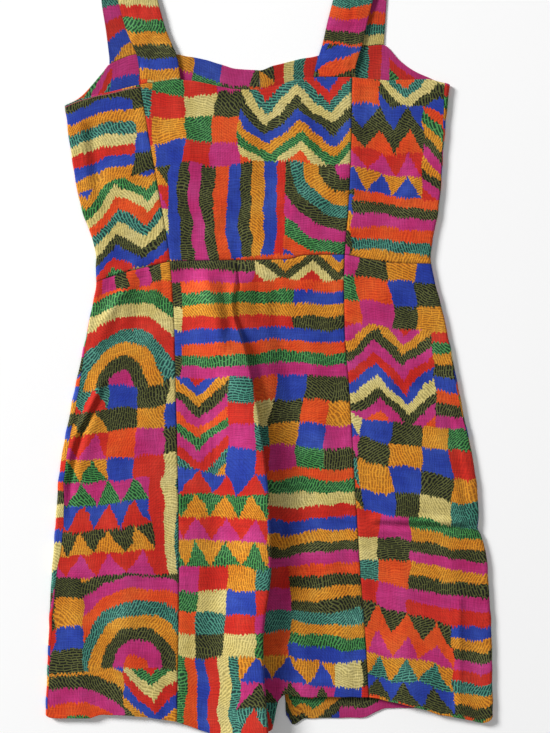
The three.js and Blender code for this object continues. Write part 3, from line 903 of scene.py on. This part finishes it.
def printed_linen(name, depth):
    """Linen with a generic patchwork print of bands, checks, zigzags, arcs and triangles, with
    toothed edges and short drawn strokes. depth is how much light its side of the cloth gives
    back; on the wrong side it is set low as painted shade."""
    t = Tree(name)
    place = t.add("UVMap", uv_map="cloth").outputs[0]
    wobble_sockets = {"Vector": place, "Scale": WOBBLE_SCALE, "Detail": 3.0}
    wobble = t.add("TexNoise", wobble_sockets).outputs["Color"]
    shift = t.add("VectorMath", {0: wobble, 1: (0.5, 0.5, 0.5)}, operation="SUBTRACT").outputs[0]
    shift = t.add("VectorMath", {0: shift, "Scale": WOBBLE}, operation="SCALE").outputs[0]
    drawn = t.add("VectorMath", {0: place, 1: shift}, operation="ADD").outputs[0]
    parts = t.add("SeparateXYZ", {0: drawn}).outputs

    def teeth(along, across_it):
        """Pointed stroke ends of uneven length along an edge."""
        pitch = t.math("DIVIDE", along, TOOTH_PITCH)
        row = t.math("FLOOR", t.math("DIVIDE", across_it, TOOTH_ROW))
        length = t.hash(t.math("FLOOR", pitch), row).outputs["Value"]
        point = t.math("PINGPONG", pitch, 0.5)
        return t.math("MULTIPLY", point, t.math("MULTIPLY_ADD", length, TOOTH_SPREAD, TOOTH_LEAST))

    x = t.math("MULTIPLY_ADD", teeth(parts[1], parts[0]), SIDE_TEETH, parts[0])
    y = t.math("ADD", teeth(parts[0], parts[1]), parts[1])

    # Patches: rows of cells, each row set off from the last.
    row = t.math("FLOOR", t.math("DIVIDE", y, PATCH_HEIGHT))
    along = t.math("MULTIPLY_ADD", row, GOLDEN, t.math("DIVIDE", x, PATCH_WIDTH))
    column = t.math("FLOOR", along)
    local_x = t.math("MULTIPLY", t.math("FRACT", along), PATCH_WIDTH)
    local_y = t.math("SUBTRACT", y, t.math("MULTIPLY", row, PATCH_HEIGHT))
    draw = t.add("SeparateColor", {0: t.hash(column, row).outputs["Color"]}).outputs
    kind, turn = draw[0], draw[1]
    patch = t.math("MULTIPLY_ADD", column, PATCH_STRIDE, row)

    # Motifs: each gives a number that changes from one band or block to the next.
    swap = t.math("GREATER_THAN", turn, UPRIGHT)
    bands = t.math("FLOOR", t.math("DIVIDE", t.choose(swap, local_y, local_x), BAND))
    check_x = t.math("FLOOR", t.math("DIVIDE", local_x, CHECK_WIDTH))
    check_y = t.math("FLOOR", t.math("DIVIDE", local_y, CHECK_HEIGHT))
    checks = t.math("MULTIPLY_ADD", check_y, CHECK_STRIDE, check_x)
    peak = t.math("PINGPONG", local_x, PEAK_WIDTH)
    ridge = t.math("MULTIPLY_ADD", peak, PEAK_SLOPE, local_y)
    zigzags = t.math("FLOOR", t.math("DIVIDE", ridge, ZIGZAG))
    off_x = t.math("SUBTRACT", local_x, PATCH_WIDTH / 2)
    off_y = t.math("SUBTRACT", local_y, t.choose(swap, 0.0, PATCH_HEIGHT))
    square = t.math("ADD", t.math("MULTIPLY", off_x, off_x), t.math("MULTIPLY", off_y, off_y))
    arcs = t.math("FLOOR", t.math("DIVIDE", t.math("SQRT", square), ARC))
    tier = t.math("DIVIDE", local_y, TRIANGLE_HEIGHT)
    slope = t.math("DIVIDE", t.math("PINGPONG", local_x, TRIANGLE_WIDTH), TRIANGLE_WIDTH)
    inside = t.math("LESS_THAN", t.math("FRACT", tier), slope)
    triangles = t.math("MULTIPLY_ADD", t.math("FLOOR", tier), 2.0, inside)
    motif = bands
    for limit, other in zip(MOTIF_STARTS, (checks, zigzags, arcs, triangles)):
        motif = t.choose(t.math("GREATER_THAN", kind, limit), motif, other)
    draw = t.add("SeparateColor", {0: t.hash(motif, patch, DYE_DRAW).outputs["Color"]}).outputs
    first, lean = t.hash(patch, FIRST_DRAW).outputs["Value"], draw[1]
    chance = t.math("MULTIPLY_ADD", draw[0], DYE_SPREAD, first)
    dye = t.math("FRACT", t.math("MULTIPLY_ADD", motif, GOLDEN, chance))

    # Strokes over the colours, short and side by side, at each band's own slant.
    angle = t.math("MULTIPLY_ADD", lean, SLANT, -SLANT / 2)
    angle = t.math("MULTIPLY_ADD", swap, math.pi / 2, angle)
    turned = t.add("VectorRotate", {"Vector": drawn, "Angle": angle}, rotation_type="Z_AXIS")
    ways = t.add("SeparateXYZ", {0: turned.outputs[0]}).outputs
    tremor = t.math("MULTIPLY", t.noise(place, TREMOR_SCALE), TREMOR)
    waver = t.math("MULTIPLY_ADD", t.noise(place, SWEEP_SCALE), SWEEP, tremor)
    beside = t.math("DIVIDE", t.math("ADD", ways[0], waver), STROKE_PITCH)
    stroke_number = t.math("FLOOR", beside)
    start = t.hash(stroke_number, patch, STROKE_DRAW).outputs["Value"]
    strokes_along = t.math("ADD", t.math("DIVIDE", ways[1], STROKE_LENGTH), start)
    dash = t.math("PINGPONG", strokes_along, 0.5)
    strength = t.ramp(dye, DYES, strokes=True)
    from_gap = t.math("PINGPONG", beside, 0.5)
    profile = t.math("MULTIPLY_ADD", strength.outputs[1], STROKE_SWELL, from_gap)
    line = t.soft_step(profile, *STROKE_EDGE)
    ends = t.soft_step(dash, *STROKE_END)
    stroke = t.math("MULTIPLY", t.math("MULTIPLY", line, ends), strength.outputs[1])
    printed = t.blend(stroke, t.ramp(dye, DYES).outputs[0], strength.outputs[0])

    # Threads: warp and weft that take the dye unevenly, with slubs.
    warp = t.noise(t.scaled(place, WARP), scale=1.0, detail=2.0)
    weft = t.noise(t.scaled(place, WEFT), scale=1.0, detail=2.0)
    threads = t.math("ADD", warp, weft)
    cloudy = t.noise(place, CLOUD_SCALE, detail=3.0, roughness=0.6)
    power = t.math("MULTIPLY_ADD", cloudy, DYE_DEPTH[1], DYE_DEPTH[0])
    deep = t.add("Gamma", {0: printed, 1: power}).outputs[0]
    tone = t.math("MULTIPLY_ADD", threads, THREAD_TONE[1], THREAD_TONE[0])
    tone = t.math("MULTIPLY", tone, depth)
    # painted shade along the seams, from the points' seam attribute
    tone = t.math("MULTIPLY", tone, t.add("Attribute", attribute_name="seam").outputs["Fac"])
    shade = t.add("CombineColor", {0: tone, 1: tone, 2: tone}).outputs[0]
    t.set(t.shader.inputs["Base Color"], t.blend(1.0, deep, shade, "MULTIPLY"))
    t.set(t.shader.inputs["Roughness"], t.math("MULTIPLY_ADD", cloudy, ROUGHNESS[1], ROUGHNESS[0]))
    t.shader.inputs["Sheen Weight"].default_value = 0.08
    t.shader.inputs["Sheen Roughness"].default_value = 0.6
    t.shader.inputs["Specular IOR Level"].default_value = 0.2
    bump = t.add("Bump", {"Height": threads, "Strength": 0.5, "Distance": THREAD_RELIEF})
    t.set(t.shader.inputs["Normal"], bump.outputs[0])
    return t.material


RIGHT_SIDE_LIGHT = 0.89
# the wrong side is the same print made darker: painted shade for where it lies inside the dress
WRONG_SIDE_PAINTED_SHADE = 0.73
PRINT = printed_linen("printed_linen", RIGHT_SIDE_LIGHT)
PRINT_WRONG_SIDE_PAINTED_SHADE = printed_linen("printed_linen_wrong_side_painted_shade", WRONG_SIDE_PAINTED_SHADE)


FLOOR_TONES = (0.97, 0.99)
FLOOR_SCALE = 3.0


def plain_floor():
    t = Tree("pale_floor")
    speck = t.noise(t.add("TexCoord").outputs["Object"], FLOOR_SCALE, detail=3.0)
    pale = t.add("MapRange", {0: speck, 3: FLOOR_TONES[0], 4: FLOOR_TONES[1]}).outputs[0]
    grey = t.add("CombineColor", {0: pale, 1: pale, 2: pale}).outputs[0]
    t.set(t.shader.inputs["Base Color"], grey)
    t.shader.inputs["Roughness"].default_value = 0.9
    return t.material


# Camera, light and floor

FRAME_HEIGHT = 0.8063  # of the photograph, at the dress
SENSOR = 36.0
LENS = 70.0
VIEW_CENTRE = (12.1, -115.0)  # what the middle of the photograph shows
SKY = 0.22  # strength of the light from all round
FLOOR_HALF = 4.0
FLOOR_DROP = 0.0004

camera_data = bpy.data.cameras.new("camera")
camera_data.sensor_width = SENSOR
camera_data.lens = LENS
camera = bpy.data.objects.new("camera", camera_data)
camera.location = (
    (VIEW_CENTRE[0] + SHIFT_X) * MM,
    (VIEW_CENTRE[1] + SHIFT_Y) * MM,
    FRAME_HEIGHT * LENS / SENSOR + FRONT_LEVEL * MM,
)
bpy.context.scene.collection.objects.link(camera)
bpy.context.scene.camera = camera
bpy.context.scene.view_settings.view_transform = "Standard"


def lamp(name, place, size, energy, aim=(0, 0, 0)):
    """A round soft lamp, in metres and watts."""
    data = bpy.data.lights.new(name, "AREA")
    data.shape, data.size, data.energy = "DISK", size, energy
    light = bpy.data.objects.new(name, data)
    light.location = place
    direction = Vector(aim) - Vector(place)
    light.rotation_mode = "QUATERNION"
    light.rotation_quaternion = direction.to_track_quat("-Z", "Y")
    bpy.context.scene.collection.objects.link(light)


lamp("key", (-6.0, 3.8, 3.5), 2.4, 930)
lamp("fill", (1.0, -0.5, 3.0), 2.4, 14)
world = bpy.data.worlds.new("studio")
world.use_nodes = True
background = world.node_tree.nodes["Background"]
background.inputs["Color"].default_value = (1, 1, 1, 1)
background.inputs["Strength"].default_value = SKY
bpy.context.scene.world = world

floor_mesh = bpy.data.meshes.new("floor")
floor_mesh.from_pydata(
    [(x * FLOOR_HALF, y * FLOOR_HALF, -FLOOR_DROP) for x, y in ((-1, -1), (1, -1), (1, 1), (-1, 1))],
    [],
    [(0, 1, 2, 3)],
)
floor_mesh.materials.append(plain_floor())
floor = bpy.data.objects.new("floor", floor_mesh)
bpy.context.scene.collection.objects.link(floor)


# The dress

BODICE_LENGTH = 195
CENTRE_WIDTH = 205
SKIRT_LENGTH = 505
STRAP_LENGTH = 180
bodice_rows = spaced(BODICE_LENGTH)
skirt_rows = spaced(SKIRT_LENGTH, SKIRT_FINE)
strap_rows = stretch([(STRAP_SHARE, 170), (1, 10)])
side_columns = stretch([(ROLL_SHARE, 6), (SIDE_SHARE, 48), (1, 84)])
fold_columns = stretch([(FLANK_SHARE, 95), (FOLD_SHARE, 36), (SHADE_SHARE, 18), (1, 105)])
centre_columns = spaced(CENTRE_WIDTH)
back_columns = stretch([(FLAT_SHARE, 205), (1, 16)])
strap_columns = spaced(STRAP_WIDTH)

# What each part of the dress shares: its rows, its length and its edges that are turned under.
PARTS = {
    "bodice": (bodice_rows, BODICE_LENGTH, ("top",)),
    "skirt": (skirt_rows, SKIRT_LENGTH, ("bottom",)),
    "strap": (strap_rows, STRAP_LENGTH, ()),
}
# Each kind of piece: its columns, its rough width, and 1 where its right side faces up.
KINDS = {
    "bodice_front_side": (side_columns, 110, 1),
    "skirt_front_side": (side_columns, 130, 1),
    "bodice_back": (back_columns, 215, -1),
    "skirt_back": (back_columns, 240, -1),
    "strap_front": (strap_columns, STRAP_WIDTH, 1),
    "strap_back": (strap_columns, STRAP_WIDTH, -1),
    "bodice_front": (centre_columns, CENTRE_WIDTH, 1),
    "skirt_front": (fold_columns, 250, 1),
}
made = {}


def sew(kind, which, form):
    columns, width, facing = KINDS[kind]
    rows, length, hems = PARTS[kind.split("_")[0]]
    name = f"{kind}_{which}"
    made[name] = wall(name, columns, rows, form, facing, (width, length), hems)


for side in ("left", "right"):
    front_hem = free_edge(FRONT_HEM_LEFT if side == "left" else FRONT_HEM_RIGHT)
    sew("bodice_front_side", side, front_side(side, above(FRONT_WAIST), free_edge(FRONT_TOP)))
    sew("skirt_front_side", side, front_side(side, front_hem, below(FRONT_WAIST)))
    sew("bodice_back", side, back_half(side, above(BACK_WAIST), free_edge(BACK_TOP)))
    sew("skirt_back", side, back_half(side, free_edge(BACK_HEM), below(BACK_WAIST)))
    sew("strap_front", side, strap(side, "front", free_edge(FRONT_TOP)))
    sew("strap_back", side, strap(side, "back", free_edge(BACK_TOP)))
sew("bodice_front", "center", front_centre_bodice)
sew("skirt_front", "center", front_centre_skirt)

for name, (piece, cut_size, area) in made.items():
    area = min(area, cut_size[0] * cut_size[1])
